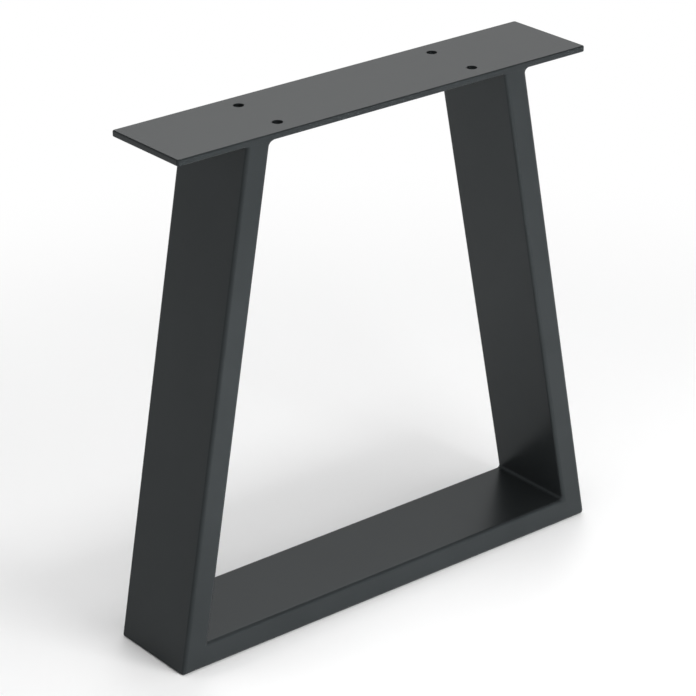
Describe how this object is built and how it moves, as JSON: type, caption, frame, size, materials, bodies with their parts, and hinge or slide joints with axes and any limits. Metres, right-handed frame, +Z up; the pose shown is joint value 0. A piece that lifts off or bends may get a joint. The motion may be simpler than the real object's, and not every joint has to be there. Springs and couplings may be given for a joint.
{
  "type": "table leg",
  "caption": "Trapezoid table leg of flat steel tube, mitred at the foot and welded under a drilled top plate, in satin black powder coat.",
  "frame": {"origin": "middle of the foot, on the floor plane", "axes": "+X along the width, +Y along the tube's depth (the picture shows the -Y side), +Z up to the top plate"},
  "size_m": [0.4042, 0.08, 0.405],
  "materials": {
    "plate_coat": "satin black powder coat, fine grain, on flat steel plate",
    "tube_coat": "satin black powder coat, fine grain, on drawn steel tube",
    "weld_coat": "satin black powder coat over rippled weld bead"
  },
  "bodies": {
    "root": {"top_plate": "plate_coat", "left_leg": "tube_coat", "right_leg": "tube_coat", "foot_bar": "tube_coat", "left_outer_weld": "weld_coat", "left_inner_weld": "weld_coat", "left_corner_weld": "weld_coat", "right_outer_weld": "weld_coat", "right_inner_weld": "weld_coat", "right_corner_weld": "weld_coat"}
  },
  "joints": []
}
